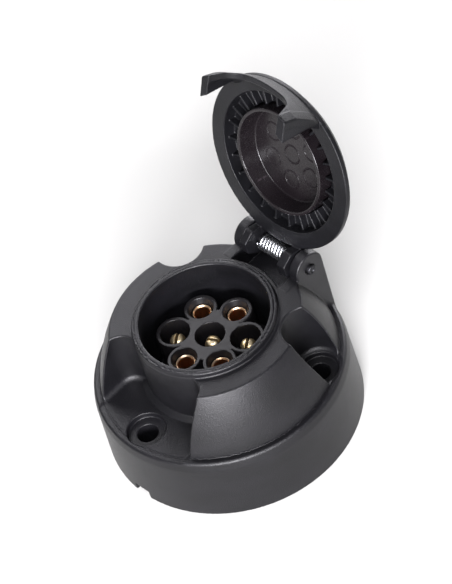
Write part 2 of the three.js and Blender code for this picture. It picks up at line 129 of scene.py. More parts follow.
# Lid, shut
FLANGE_Z = 44.5
LID_EDGE = 1.8
GROOVE_R = 23.4
GROOVE_TOP_Z = 49
CUP_MOUTH_R = 16.6
CUP_FLOOR_R = 16
CUP_FLOOR_Z = 50.7
CUP_BACK_Z = 51.8
LID_TOP_Z = 54.2
RIBS = 24
RIB_HALF = 0.4
MARK_SPREAD = 0.8
MARK_R = 3
MARK_WIRE_R = 0.16
CLAW_X = 17.3
CLAW_PLATE = 2.9
CLAW_DROP = 14.7
CLAW_TIP_R = 35
CLAW_WALL = 2.2
ARCH_TOP = 6.2
LUG_X = ((-9.8, -7), (6.5, 9.8))
LUG = (
    (27.6, 44.7, 0.3), (27.6, 40.7, 1.5), (31.2, 37.5, 1), (35.3, 38.9, 1), (37, 42.5, 2), (37.4, 45.5, 2),
    (35.5, 48.5, 1.5), (32.5, 49.2, 1), (26, 49, 0.3),
)
HINGE_TAB = ((23.8, 44.8, 0.3), (32, 44.8, 0.3), (34, 48, 0.5), (32.5, 49.2, 0.5), (24.8, 49.5, 0.3))
SPRING_POCKET_R = 3.65
SPRING_POCKET_TOP_Z = 46.5
SPRING_WIRE_R = 0.45
SPRING_MEAN_R = 2.45
SPRING_TURNS = 10
SPRING_LEG = 1.5

# Contacts
CONTACT_CIRCLE_R = 11.46
CONTACT_R = 3.1
DISC_Z = 20.5
DISC_R = 20.2
FLANGE_GAP = 0.3
FLANGE_LUG_R = 3.6
FLANGE_LUG_X = (22, 26)
FLANGE_LUG_HALF = 3.2
FLANGE_HOLE_R = 1.8
PIN_TOWER_R = 6
PIN_WELL_R = 4.7
TUBE_TOWER_R = 5.3
TUBE_WELL_R = 3.35
FUNNEL_R = 4.1
FUNNEL_DEPTH = 2.2
TERMINAL_Z = 3.5
TERMINAL_SCREW_Z = 7.5
TERMINAL_SCREW_X = 3.5
WIRE_BORE_R = 1.75
WIRE_BORE_DEPTH = 8
TERMINAL_SCREW_R = 1.6
MALE_R = 2.5
MALE_TOP_Z = 34.4
MALE_CROWN_R = 4.5
MALE_SPLIT_HALF = 0.46
MALE_SPLIT_DEPTH = 9
FEMALE_TOP_Z = 34.9
FEMALE_BORE_R = 2.5
FEMALE_LEAD = 0.45
THREAD_DEPTH = 0.09
THREAD_PITCH = 0.5
SCREW_SLOT_HALF = 0.28
SCREW_SLOT_DEPTH = 0.6

PAST_AXIS = -20  # outlines of turned shapes run on beyond their axis, so that none of them closes there
FINE = 1


# Distance fields: each takes x, y and z arrays that broadcast together

def meet(radius, *parts):
    """Where all the parts overlap, its outward edges rounded."""
    beyond = sum(np.maximum(p + radius, 0) ** 2 for p in parts)
    most = parts[0]
    for p in parts[1:]:
        most = np.maximum(most, p)
    return np.minimum(-radius, most) + np.sqrt(beyond)


def join(radius, *parts):
    """All the parts together, its inward corners filled to a radius."""
    return -meet(radius, *[-p for p in parts])


def cut(radius, part, *holes):
    return meet(radius, part, *[-h for h in holes])


def span(v, a, b):
    return np.maximum(a - v, v - b)


def block(x, y, z, xs, ys, zs, radius):
    return meet(radius, span(x, *xs), span(y, *ys), span(z, *zs))


def polar(r, degrees):
    return r * math.cos(math.radians(degrees)), r * math.sin(math.radians(degrees))


def rounded(corners, steps=5):
    """A closed outline from (u, v, radius) corners, each turned on an arc."""
    points = []
    for i, (u, v, radius) in enumerate(corners):
        here = np.array((u, v))
        back = np.array(corners[i - 1][:2]) - here
        ahead = np.array(corners[(i + 1) % len(corners)][:2]) - here
        lengths = np.linalg.norm(back), np.linalg.norm(ahead)
        back, ahead = back / lengths[0], ahead / lengths[1]
        half = math.acos(np.clip(back @ ahead, -1, 1)) / 2
        if radius == 0 or half > math.radians(89):
            points.append(here)
            continue
        reach = min(radius / math.tan(half), 0.49 * min(lengths))
        radius = reach * math.tan(half)
        middle = (back + ahead) / np.linalg.norm(back + ahead)
        centre = here + middle * radius / math.sin(half)
        start, end = here + back * reach - centre, here + ahead * reach - centre
        turn = math.atan2(start[0] * end[1] - start[1] * end[0], start @ end)
        for k in range(steps + 1):
            a = turn * k / steps
            points.append(centre + start @ np.array(
                ((math.cos(a), math.sin(a)), (-math.sin(a), math.cos(a)))
            ))
    return np.array(points)


def outline_field(points, pitch=0.08, margin=4):
    """The distance to a closed outline, from a table read between its entries."""
    origin = points.min(0) - margin
    size = np.ceil((points.max(0) + margin - origin) / pitch).astype(int) + 1
    u = (origin[0] + pitch * np.arange(size[0]))[:, None]
    v = (origin[1] + pitch * np.arange(size[1]))[None, :]
    nearest = np.full(size, np.inf)
    inside = np.zeros(size, bool)
    for a, b in zip(points, np.roll(points, -1, 0)):
        e = b - a
        if e @ e < 1e-12:
            continue
        t = np.clip(((u - a[0]) * e[0] + (v - a[1]) * e[1]) / (e @ e), 0, 1)
        nearest = np.minimum(nearest, (u - a[0] - t * e[0]) ** 2 + (v - a[1] - t * e[1]) ** 2)
        if a[1] != b[1]:
            crossing = a[0] + (v - a[1]) * e[0] / e[1]
            inside ^= ((a[1] > v) != (b[1] > v)) & (u < crossing)
    table = (np.sqrt(nearest) * np.where(inside, -1, 1)).astype(np.float32)

    def field(u, v):
        i = np.clip((u - origin[0]) / pitch, 0, size[0] - 1.001)
        j = np.clip((v - origin[1]) / pitch, 0, size[1] - 1.001)
        i0, j0 = i.astype(np.int32), j.astype(np.int32)
        s, t = i - i0, j - j0
        across = table[i0, j0] * (1 - s) + table[i0 + 1, j0] * s
        return across * (1 - t) + (table[i0, j0 + 1] * (1 - s) + table[i0 + 1, j0 + 1] * s) * t

    return field


def curve(a, b, c, count):
    """Points on a quadratic curve from a to c, drawn towards b, as corners of no radius."""
    t = np.linspace(0, 1, count)[:, None]
    points = (1 - t) ** 2 * np.array(a) + 2 * t * (1 - t) * np.array(b) + t * t * np.array(c)
    return [(u, v, 0) for u, v in points]


# Meshes from fields

def net(field, low, high, step):
    """A quad mesh near the field's zero surface: one corner in each grid cell that the surface crosses."""
    axes = [np.arange(a - 2.5 * step, b + 3 * step, step) for a, b in zip(low, high)]
    x, y, z = np.meshgrid(*axes, indexing="ij", sparse=True)
    shape = tuple(len(a) for a in axes)
    d = np.broadcast_to(field(x, y, z), shape).astype(np.float32)
    strides = np.array((shape[1] * shape[2], shape[2], 1))
    cells, crossings, loops = [], [], []
    for axis in range(3):
        a = np.take(d, range(shape[axis] - 1), axis)
        b = np.take(d, range(1, shape[axis]), axis)
        index = np.argwhere((a < 0) != (b < 0))
        a, b = a[tuple(index.T)], b[tuple(index.T)]
        point = index.astype(float)
        point[:, axis] += a / (a - b)
        p, q = [strides[k] for k in range(3) if k != axis]
        flat = index @ strides
        ring = np.stack((flat, flat - p, flat - p - q, flat - q), 1)
        flip = (a < 0) == (axis == 1)
        loops.append(np.where(flip[:, None], ring[:, ::-1], ring))
        cells.append(ring.T.ravel())
        crossings.append(np.tile(point, (4, 1)))
    ids, place = np.unique(np.concatenate(cells), return_inverse=True)
    crossings = np.concatenate(crossings)
    count = np.bincount(place)
    corners = np.stack([np.bincount(place, crossings[:, k]) / count for k in range(3)], 1)
    origin = np.array([a[0] for a in axes])
    return origin + corners * step, np.searchsorted(ids, np.concatenate(loops))


def slope(field, p, reach=0.02):
    """The field's direction of steepest rise at each point."""
    sides = []
    for axis in range(3):
        move = np.zeros(3)
        move[axis] = reach
        sides.append((field(*(p + move).T) - field(*(p - move).T)) / (2 * reach))
    return np.stack(sides, 1)


def settle(field, p, most, rounds=4):
    """Moves points onto the field's zero surface."""
    for _ in range(rounds):
        g = slope(field, p)
        move = -field(*p.T) / np.maximum((g * g).sum(1), 0.05)
        p = p + np.clip(move, -most, most)[:, None] * g
    return p


def bare_mesh(name, points, faces):
    data = bpy.data.meshes.new(name)
    data.from_pydata(points.tolist(), [], faces.tolist())
    data.validate()
    return data


def thinned(name, points, faces, share):
    """The same surface with a share of its faces, fewest where it is flat."""
    if share >= 1:
        return points, faces
    holder = bpy.data.objects.new(name, bare_mesh(name, points, faces))
    bpy.context.scene.collection.objects.link(holder)
    holder.modifiers.new("thin", "DECIMATE").ratio = share
    made = holder.evaluated_get(bpy.context.evaluated_depsgraph_get()).to_mesh()
    made.calc_loop_triangles()
    points = np.array([v.co for v in made.vertices])
    faces = np.array([t.vertices for t in made.loop_triangles])
    holder.to_mesh_clear()
    data = holder.data
    bpy.data.objects.remove(holder)
    bpy.data.meshes.remove(data)
    return points, faces


def carve(name, field, low, high, step, share=1.0):
    """A smooth-shaded mesh of a field, still in millimetres in the field's own frame."""
    step *= FINE
    points, faces = net(field, low, high, step)
    points = settle(field, points, step)
    points, faces = thinned(name, points, faces, share)
    points = settle(field, points, step / 2, 2)
    normals = slope(field, points)
    normals /= np.maximum(np.linalg.norm(normals, axis=1), 1e-9)[:, None]
    data = bare_mesh(name, points, faces)
    data.shade_smooth()
    data.normals_split_custom_set_from_vertices(normals.tolist())
    return data


SHUT = Matrix.Translation(AXIS) @ Matrix.Diagonal((MM, MM, MM, 1))
LID_OPEN = (
    Matrix.Translation(AXIS + HINGE * MM)
    @ Matrix.Rotation(-OPEN, 4, "X")
    @ Matrix.Translation(-HINGE * MM)
    @ Matrix.Diagonal((MM, MM, MM, 1))
)


def place(name, data, body, slot, material, replaced, at=SHUT):
    """Puts a mesh into the scene as the piece that stands for some CAD nodes."""
    data = data.copy()
    data.name = name
    data.transform(at)
    data.materials.clear()
    data.materials.append(material)
    piece = bpy.data.objects.new(name, data)
    bpy.context.scene.collection.objects.link(piece)
    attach(piece, body)
    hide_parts(*replaced)
    return piece


# Materials. Scales are in features per metre and depths in metres; the fade of the painted shade on metal is
# in millimetres.

FLOW_SCALE = 60
# The next value scales the painted highlight on sharp edges, as a multiple of the plastic's light tone.
EDGE_HIGHLIGHT_LIFT = 5
GRAIN_SCALE = 3200
WAVE_SCALE = 350
WAVE_DEPTH = 0.00003
TARNISH_SCALE = 500
TOOL_LINE_SCALE = 2500
TOOL_LINE_STRETCH = (1, 1, 12)
TOOL_LINE_DEPTH = 0.000008
# The next value is how far the painted shade on metal fades in, in millimetres.
PAINTED_SHADE_FADE = 1.2


def new_material(name):
    made = bpy.data.materials.new(name)
    made.use_nodes = True
    tree = made.node_tree
    return made, tree, tree.nodes["Principled BSDF"]


def noise(tree, scale, detail=3, stretch=(1, 1, 1)):
    """Noise in the object's own coordinates; scale is in features per metre."""
    where = tree.nodes.new("ShaderNodeTexCoord")
    size = tree.nodes.new("ShaderNodeMapping")
    size.inputs["Scale"].default_value = stretch
    made = tree.nodes.new("ShaderNodeTexNoise")
    made.inputs["Scale"].default_value = scale
    made.inputs["Detail"].default_value = detail
    tree.links.new(where.outputs["Object"], size.inputs["Vector"])
    tree.links.new(size.outputs["Vector"], made.inputs["Vector"])
    return made.outputs["Fac"]


def ramp(tree, factor, stops):
    made = tree.nodes.new("ShaderNodeValToRGB")
    for k, (at, value) in enumerate(stops):
        stop = made.color_ramp.elements[k] if k < 2 else made.color_ramp.elements.new(at)
        stop.position = at
        stop.color = (*value, 1) if isinstance(value, tuple) else (value, value, value, 1)
    tree.links.new(factor, made.inputs["Fac"])
    return made.outputs["Color"]


def bump(tree, shader, layers):
    """Stacks bump layers of (height, depth in metres)."""
    last = None
    for height, depth in layers:
        made = tree.nodes.new("ShaderNodeBump")
        made.inputs["Distance"].default_value = depth
        tree.links.new(height, made.inputs["Height"])
        if last:
            tree.links.new(last, made.inputs["Normal"])
        last = made.outputs["Normal"]
    tree.links.new(last, shader.inputs["Normal"])


def moulded(name, dark, light, rough, grain_depth, specular):
    """Injection-moulded plastic: spark-eroded grain, faint flow marks, and sharp edges lightened by
    Pointiness as a painted highlight.
    """
    made, tree, shader = new_material(name)
    flow = noise(tree, FLOW_SCALE, 2, (1, 1, 2.5))
    colour = ramp(tree, flow, ((0.3, dark), (0.7, light)))
    # Sharp edges, found by Pointiness, are painted lighter as a highlight along them.
    edges = tree.nodes.new("ShaderNodeNewGeometry").outputs["Pointiness"]
    painted_edge_highlight = ramp(tree, edges, ((0.56, 0.0), (0.68, 0.4)))
    mix = tree.nodes.new("ShaderNodeMix")
    mix.data_type = "RGBA"
    tree.links.new(painted_edge_highlight, mix.inputs["Factor"])
    tree.links.new(colour, mix.inputs["A"])
    mix.inputs["B"].default_value = (*(EDGE_HIGHLIGHT_LIFT * c for c in light), 1)
    tree.links.new(mix.outputs["Result"], shader.inputs["Base Color"])
    grain = noise(tree, GRAIN_SCALE, 2)
    gloss = ramp(tree, grain, ((0.25, rough - 0.05), (0.75, rough + 0.07)))
    tree.links.new(gloss, shader.inputs["Roughness"])
    bump(tree, shader, ((noise(tree, WAVE_SCALE, 2), WAVE_DEPTH), (grain, grain_depth)))
    shader.inputs["Specular IOR Level"].default_value = specular
    return made


def turned_metal(name, dark, light, rough, painted_shade_colour=None, shade_top_z=0):
    """Turned or plated metal: fine tool lines, patches of tarnish, and a darker, browner tone painted below a
    height as shade down in wells and bores.
    """
    made, tree, shader = new_material(name)
    patches = noise(tree, TARNISH_SCALE, 3)
    colour = ramp(tree, patches, ((0.35, dark), (0.62, light)))
    # Below a given height the colour fades into a darker, browner painted shade, standing in for the shade
    # inside wells and bores.
    if painted_shade_colour:
        where = tree.nodes.new("ShaderNodeTexCoord")
        split = tree.nodes.new("ShaderNodeSeparateXYZ")
        tree.links.new(where.outputs["Object"], split.inputs["Vector"])
        height = tree.nodes.new("ShaderNodeMapRange")
        height.inputs["From Min"].default_value = (shade_top_z - PAINTED_SHADE_FADE) * MM
        height.inputs["From Max"].default_value = shade_top_z * MM
        tree.links.new(split.outputs["Z"], height.inputs["Value"])
        mix = tree.nodes.new("ShaderNodeMix")
        mix.data_type = "RGBA"
        tree.links.new(height.outputs["Result"], mix.inputs["Factor"])
        mix.inputs["A"].default_value = (*painted_shade_colour, 1)
        tree.links.new(colour, mix.inputs["B"])
        colour = mix.outputs["Result"]
    tree.links.new(colour, shader.inputs["Base Color"])
    lines = noise(tree, TOOL_LINE_SCALE, 2, TOOL_LINE_STRETCH)
    tree.links.new(ramp(tree, lines, ((0.3, rough - 0.06), (0.7, rough + 0.1))), shader.inputs["Roughness"])
    bump(tree, shader, ((lines, TOOL_LINE_DEPTH),))
    shader.inputs["Metallic"].default_value = 1
    return made


HOUSING_PLASTIC = moulded(
    "housing_plastic", (0.0018, 0.0018, 0.0023), (0.0045, 0.0043, 0.0055),
    rough=0.41, grain_depth=0.00009, specular=0.32,
)
INSERT_PLASTIC = moulded(
    "insert_plastic", (0.0045, 0.004, 0.0045), (0.007, 0.0065, 0.007),
    rough=0.34, grain_depth=0.00001, specular=0.3,
)
LID_PLASTIC = moulded(
    "lid_plastic", (0.0025, 0.0025, 0.003), (0.005, 0.005, 0.006),
    rough=0.4, grain_depth=0.0001, specular=0.2,
)
CUP_PLASTIC = moulded(
    "cup_plastic", (0.004, 0.003, 0.0036), (0.007, 0.0055, 0.0064),
    rough=0.26, grain_depth=0.000006, specular=0.3,
)
# The pins are painted darker below their tips and the tubes browner inside their bores, as painted shade.
BRASS = turned_metal(
    "contact_brass", (0.72, 0.54, 0.27), (0.9, 0.76, 0.5), 0.4,
    painted_shade_colour=(0.6, 0.38, 0.15), shade_top_z=MALE_TOP_Z - 2,
)
BORE_BRASS = turned_metal(
    "tube_brass", (0.72, 0.5, 0.3), (0.9, 0.72, 0.5), 0.34,
    painted_shade_colour=(0.56, 0.24, 0.1), shade_top_z=FEMALE_TOP_Z,
)
SPRING_STEEL = turned_metal("spring_zinc", (0.72, 0.73, 0.76), (0.92, 0.93, 0.95), 0.2)
PIN_STEEL = turned_metal("pin_steel", (0.02, 0.02, 0.022), (0.05, 0.05, 0.054), 0.5)
SCREW_STEEL = turned_metal("screw_steel", (0.5, 0.5, 0.5), (0.72, 0.72, 0.7), 0.3)


# Housing

def dome(offset, count=16):
    return curve(
        (DOME_FOOT_R - offset, FLOOR_Z + 0.8 - offset),
        (DOME_BULGE[0] - offset, DOME_BULGE[1] - offset),
        (PLATEAU_R + 0.4 - offset, PLATEAU_Z - 0.2 - offset), count,
    )


def recess_plan(x, y, half, back, corner):
    return meet(corner, span(x, -half, half), y - back)


def housing_fields():
    outer = outline_field(rounded([
        (PAST_AXIS, 0, 0), (BASE_R, 0, 0.35), (SHOULDER_R, SHOULDER_Z - 3.1, 6),
        (SHOULDER_R - 0.7, SHOULDER_Z + 0.1, 2.4), (DOME_FOOT_R + 0.15, SHOULDER_Z - 0.1, 0.4),
        (DOME_FOOT_R - 0.1, SHOULDER_Z - 0.5, 0.2),
        *dome(0), (PLATEAU_R - 0.1, PLATEAU_Z, 0.5), (RIM_R + 0.25, PLATEAU_Z, 0.2),
        (RIM_R, PLATEAU_Z + 0.25, 0.2), (RIM_R, RIM_Z, 0.5), (PAST_AXIS, RIM_Z, 0),
    ]))
    inner = outline_field(rounded([
        (PAST_AXIS, -5, 0), (BASE_R - WALL, -5, 0), (BASE_R - WALL, 0, 0),
        (SHOULDER_R - WALL, SHOULDER_Z - 4, 3),
        *dome(WALL), (PLATEAU_R - WALL - 1, PLATEAU_Z - WALL - 0.2, 1),
        (PAST_AXIS, PLATEAU_Z - WALL - 0.2, 0),
    ]))
    return outer, inner


OUTER, INNER = housing_fields()


def housing(x, y, z):
    r = np.sqrt(x * x + y * y)
    collar = r - RIM_R
    holes = [(x - cx, y - cy) for cx, cy in (polar(SCREW_CIRCLE_R, a) for a in SCREW_ANGLES)]
    hole_r = [np.sqrt(u * u + v * v) for u, v in holes]

    shell = OUTER(r, z)
    ear_r = np.sqrt((y - HINGE.y) ** 2 + (z - HINGE.z) ** 2) - EAR_R
    foot = block(x, y, z, (-EAR_OUT_X, EAR_OUT_X), (EAR_FOOT_Y, BACK_Y), (EAR_FOOT_Z, PLATEAU_Z), 0.5)
    rear = meet(0.01, y - BACK_Y, HINGE.y - y, z - HINGE.z, EAR_FOOT_Z - z)
    ears = meet(0.5, np.minimum(ear_r, rear), span(x, -EAR_OUT_X, EAR_OUT_X))
    shell = join(0.35, shell, np.minimum(foot, ears))

    out, up = COLLAR_FOOT
    collar_foot = ((r - RIM_R) * up + (z - FLOOR_Z - up) * out) / math.hypot(out, up)
    beside_collar = meet(0.4, -collar, -collar_foot)
    front = meet(1.8, recess_plan(x, y, RECESS_X, RECESS_Y, RECESS_CORNER), FLOOR_Z - z)
    pockets = [meet(1.4, hr - POCKET_R, FLOOR_Z - z) for hr in hole_r[:2]]
    recess = np.maximum(np.minimum(np.minimum(pockets[0], pockets[1]), front), beside_collar)
    shell = cut(0.5, shell, recess)

    well = meet(0.5, span(x, -EAR_IN_X, EAR_IN_X), WELL_FRONT_R - r, WELL_Z - z, WELL_Y - y)
    behind = np.maximum(y - BACK_Y + WALL, WELL_Z - z)
    well = np.maximum(well, np.minimum(behind, WELL_BACK_Z - z))
    shell = cut(0.4, shell, well)

    solid_parts = [
        meet(0.5, recess_plan(x, y, RECESS_X + WALL, RECESS_Y + WALL, 4), FLOOR_Z - WALL - z),
        *[meet(0.5, hr - POCKET_R - WALL, FLOOR_Z - WALL - z) for hr in hole_r[:2]],
        *[hr - BOSS_R for hr in hole_r],
        *[
            meet(0.3, np.sqrt((x - s * INSERT_SCREW_X) ** 2 + y * y) - SCREW_LUG_R, COLLAR_END_Z - z)
            for s in (-1, 1)
        ],
        meet(0.3, collar - 0.2, COLLAR_END_Z - z),
        meet(0.5, span(x, -EAR_OUT_X, EAR_OUT_X), WELL_Y - WALL - y, WELL_Z - WALL - z),
    ]
    core = block(
        x, y, z, (-EAR_OUT_X + WALL, EAR_OUT_X - WALL), (RIM_R + WALL, BACK_Y - WALL),
        (WELL_CORE_Z, WELL_Z - WALL), 0.5,
    )
    hollow = cut(0.5, np.minimum(INNER(r, z), core), join(0.8, *solid_parts))
    shell = np.maximum(shell, -hollow)

    shell = cut(0.45, shell, r - MOUTH_R)
    rim_groove = np.sqrt((r - RIM_GROOVE_R) ** 2 + (z - RIM_Z - RIM_GROOVE_LIFT) ** 2) - RIM_GROOVE_WIRE_R
    shell = cut(0.08, shell, rim_groove)
    notch = meet(0.5, span(x, -NOTCH_HALF, NOTCH_HALF), z - NOTCH_Z, y + BASE_R - NOTCH_DEPTH)
    shell = cut(0.35, shell, notch)
    for hr in hole_r:
        shell = cut(0.25, shell, meet(0.2, hr - SEAT_R, FLOOR_Z - SEAT_DEPTH - z))
        shell = cut(0.3, shell, hr - SCREW_HOLE_R)
    for s in (-1, 1):
        bore = np.sqrt((x - s * INSERT_SCREW_X) ** 2 + y * y) - INSERT_SCREW_BORE_R
        shell = cut(0.15, shell, np.maximum(bore, span(z, COLLAR_END_Z - 2, INSERT_SCREW_TOP_Z)))
    pin_r = np.sqrt((y - HINGE.y) ** 2 + (z - HINGE.z) ** 2)
    return cut(0.2, shell, pin_r - PIN_R - PIN_PLAY)


# Insert and contacts

CONTACTS = [("contact_pin_centre", 0, 0, 30, 0)]
for kind, number, angle in (
    ("pin", 1, 30), ("tube", 1, 90), ("tube", 2, 150), ("pin", 2, 210), ("tube", 3, 270), ("tube", 4, 330),
):
    CONTACTS.append((f"contact_{kind}_{number}", CONTACT_CIRCLE_R, angle, -60, angle))


def insert(x, y, z):
    r = np.sqrt(x * x + y * y)
    tower = z - INSERT_TOP
    disc = meet(0.4, r - DISC_R, span(z, COLLAR_END_Z - 1, DISC_Z))
    thick = span(z, INSERT_LOW.z, COLLAR_END_Z - FLANGE_GAP)
    flange = meet(0.3, r - RIM_R, thick)
    sides = [x * math.cos(a) + y * math.sin(a) for a in np.radians(np.arange(30, 390, 60))]
    core_r = (CONTACT_CIRCLE_R - 1.4) * math.cos(math.radians(30))
    core = sides[0] - core_r
    for s in sides[1:]:
        core = np.maximum(core, s - core_r)
    body, holes = core, []
    for name, circle, angle, _, _ in CONTACTS:
        cx, cy = polar(circle, angle)
        cr = np.sqrt((x - cx) ** 2 + (y - cy) ** 2)
        pin = "pin" in name
        body = np.minimum(body, cr - (PIN_TOWER_R if pin else TUBE_TOWER_R))
        if pin:
            well = np.maximum(cr - PIN_WELL_R, DISC_Z + 1 - z)
        else:
            funnel = (cr - FUNNEL_R - (z - INSERT_TOP) * 0.4) * 0.93
            mouth = np.maximum(funnel, INSERT_TOP - FUNNEL_DEPTH - z)
            well = np.maximum(np.minimum(cr - TUBE_WELL_R, mouth), DISC_Z + 1 - z)
        holes.append(np.minimum(well, np.maximum(cr - CONTACT_R - 0.12, z - DISC_Z - 1.5)))
    body = meet(0.25, body, tower)
    ears = [
        meet(0.3, np.minimum(
            np.sqrt((x - s * INSERT_SCREW_X) ** 2 + y * y) - FLANGE_LUG_R,
            np.maximum(span(s * x, *FLANGE_LUG_X), np.abs(y) - FLANGE_LUG_HALF),
        ), thick)
        for s in (-1, 1)
    ]
    solid = join(0.5, disc, np.maximum(body, DISC_Z - 1 - z), np.minimum(flange, np.minimum(*ears)))
    for hole in holes:
        solid = cut(0.15, solid, hole)
    for s in (-1, 1):
        solid = cut(0.2, solid, np.sqrt((x - s * INSERT_SCREW_X) ** 2 + y * y) - FLANGE_HOLE_R)
    return solid


def terminal_bores(x, y, z):
    """The wire's bore from behind and the clamp screw's hole, towards +x."""
    wire = meet(0.1, np.sqrt(x * x + y * y) - WIRE_BORE_R, z - TERMINAL_Z - WIRE_BORE_DEPTH)
    screw = np.maximum(np.sqrt(y * y + (z - TERMINAL_SCREW_Z) ** 2) - TERMINAL_SCREW_R, -x)
    return np.minimum(wire, screw)


def contact_tube(x, y, z):
    r = np.sqrt(x * x + y * y)
    body = meet(0.3, r - CONTACT_R, span(z, TERMINAL_Z, FEMALE_TOP_Z))
    bore = meet(0.5, r - FEMALE_BORE_R, COLLAR_END_Z - z)
    lead = (r - FEMALE_BORE_R + (FEMALE_TOP_Z - FEMALE_LEAD - z) * 0.9) * 0.74
    return cut(0.08, body, np.minimum(bore, lead), terminal_bores(x, y, z))


def contact_pin(slot):
    """A round-ended pin, split across its tip along a direction in degrees."""
    c, s = polar(1, slot)

    def field(x, y, z):
        r = np.sqrt(x * x + y * y)
        foot = meet(0.3, r - CONTACT_R, span(z, TERMINAL_Z, DISC_Z + 1.4))
        crown = np.sqrt(r * r + (z - MALE_TOP_Z + MALE_CROWN_R) ** 2) - MALE_CROWN_R
        body = np.minimum(foot, meet(1.1, r - MALE_R, crown, TERMINAL_Z + 1 - z))
        split = np.maximum(np.abs(x * s - y * c) - MALE_SPLIT_HALF, MALE_TOP_Z - MALE_SPLIT_DEPTH - z)
        return cut(0.12, body, split, terminal_bores(x, y, z))

    return field


def slotted_screw(name, shank_r, head_r, length, head, step):
    """A screw's mesh, its head's underside at z 0 and its shank downwards."""
    def field(x, y, z):
        r = np.sqrt(x * x + y * y)
        thread = shank_r - THREAD_DEPTH * (1 + np.cos(2 * math.pi * z / THREAD_PITCH - np.arctan2(y, x)))
        shank = meet(0.1, (r - thread) * 0.8, span(z, -length, 0.2))
        top = meet(0.25, r - head_r, span(z, 0, head))
        slot = meet(0.05, np.abs(y) - SCREW_SLOT_HALF, head - SCREW_SLOT_DEPTH - z)
        return cut(0.06, np.minimum(shank, top), slot)

    return carve(name, field, (-head_r, -head_r, -length), (head_r, head_r, head), step)


# Lid pieces, shut

def claw_wall(offset):
    return [
        (LID_R - 0.2 - offset, FLANGE_Z + 0.2), (LID_R + 2.2 - offset, FLANGE_Z - 4.2),
        (CLAW_TIP_R - 1.5 - offset, FLANGE_Z - 9.6), (CLAW_TIP_R - offset, FLANGE_Z - CLAW_DROP - 3),
    ]


def lid_fields():
    shell = outline_field(rounded([
        (PAST_AXIS, CUP_BACK_Z + 0.3, 0), (CUP_R + 0.3, CUP_BACK_Z + 0.3, 0.3),
        (CUP_R + 0.3, GROOVE_TOP_Z, 0.3),
        (GROOVE_R, GROOVE_TOP_Z, 0.5), (GROOVE_R, FLANGE_Z, 0.3), (LID_R, FLANGE_Z, 0.35),
        (LID_R, FLANGE_Z + LID_EDGE, 0.5),
        *curve((LID_R - 0.9, FLANGE_Z + LID_EDGE + 0.1), (LID_R - 6, LID_TOP_Z - 1.2),
               (LID_R - 17, LID_TOP_Z - 0.35), 16),
        (PAST_AXIS, LID_TOP_Z + 0.3, 0),
    ]))
    wall = outline_field(rounded([
        *[(u, v, 4) for u, v in claw_wall(0)],
        *[(u, v, 4) for u, v in reversed(claw_wall(CLAW_WALL))],
    ]), margin=24)
    half = CLAW_X - CLAW_PLATE
    arch = outline_field(rounded([
        (half + 1.5, -30, 0), (half, -CLAW_DROP, 2), (half - 3.2, -ARCH_TOP, 6), (-half + 3.2, -ARCH_TOP, 6),
        (-half, -CLAW_DROP, 2), (-half - 1.5, -30, 0),
    ], 12))
    filled = outline_field(rounded([
        (PAST_AXIS, FLANGE_Z + 0.2, 0), *[(u, v, 4) for u, v in claw_wall(0)],
        (PAST_AXIS, FLANGE_Z - CLAW_DROP - 3, 0),
    ]), margin=24)
    lug = outline_field(rounded(LUG))
    tab = outline_field(rounded(HINGE_TAB))
    return shell, wall, arch, filled, lug, tab


LID_SHELL, CLAW_OUT, ARCH, CLAW_FILLED, LUG_SIDE, TAB_SIDE = lid_fields()


def claw(x, y, z, r):
    tip = FLANGE_Z - CLAW_DROP - z
    outer = meet(0.35, CLAW_OUT(r, z), np.abs(x) - CLAW_X, tip, y + 10)
    outer = cut(0.35, outer, ARCH(x, z - FLANGE_Z))
    beside = np.abs(np.abs(x) - CLAW_X + CLAW_PLATE / 2) - CLAW_PLATE / 2
    under = LID_R - 0.1 - r
    side_tip = FLANGE_Z - CLAW_DROP - 0.95 * np.clip((CLAW_TIP_R - r) / 6, 0, 1) - z
    plates = meet(0.35, CLAW_FILLED(r, z), beside, under, side_tip, y + 10)
    return join(0.4, outer, plates)


def lid(x, y, z):
    r = np.sqrt(x * x + y * y)
    shell = LID_SHELL(r, z)
    angle = np.arctan2(y, x)
    pitch = 2 * math.pi / RIBS
    off = np.mod(angle, pitch) - pitch / 2
    rib = meet(
        0.2, np.abs(r * np.sin(off)) - RIB_HALF, span(r, CUP_R + 0.4, GROOVE_R + 0.4),
        span(z, RIM_Z + 0.5, GROOVE_TOP_Z + 0.5),
    )
    shell = join(0.3, shell, rib, claw(x, y, z, r))
    turn = np.sqrt((y - HINGE.y) ** 2 + (z - HINGE.z) ** 2)
    (left, pocket_left), (pocket_right, right) = LUG_X
    box_room = meet(0.3, LUG[0][0] - 0.3 - y, y - HINGE.y, z - SPRING_POCKET_TOP_Z)
    spring_room = np.maximum(np.minimum(turn - SPRING_POCKET_R, box_room), span(x, pocket_left, pocket_right))
    tab = cut(0.2, meet(0.3, TAB_SIDE(y, z), span(x, left, right)), spring_room)
    lugs = [meet(0.35, LUG_SIDE(y, z), span(x, *xs)) for xs in LUG_X]
    pin_hole = np.maximum(turn - PIN_R - PIN_PLAY, 20 - y)
    return cut(0.15, join(0.4, shell, tab, *lugs), pin_hole)


def cup_field():
    return outline_field(rounded([
        (PAST_AXIS, CUP_FLOOR_Z, 0), (CUP_FLOOR_R, CUP_FLOOR_Z, 0.5), (CUP_MOUTH_R, FLANGE_Z, 0.35),
        (CUP_R, FLANGE_Z, 0.35), (CUP_R, CUP_BACK_Z, 0.3), (PAST_AXIS, CUP_BACK_Z, 0),
    ]))


CUP = cup_field()


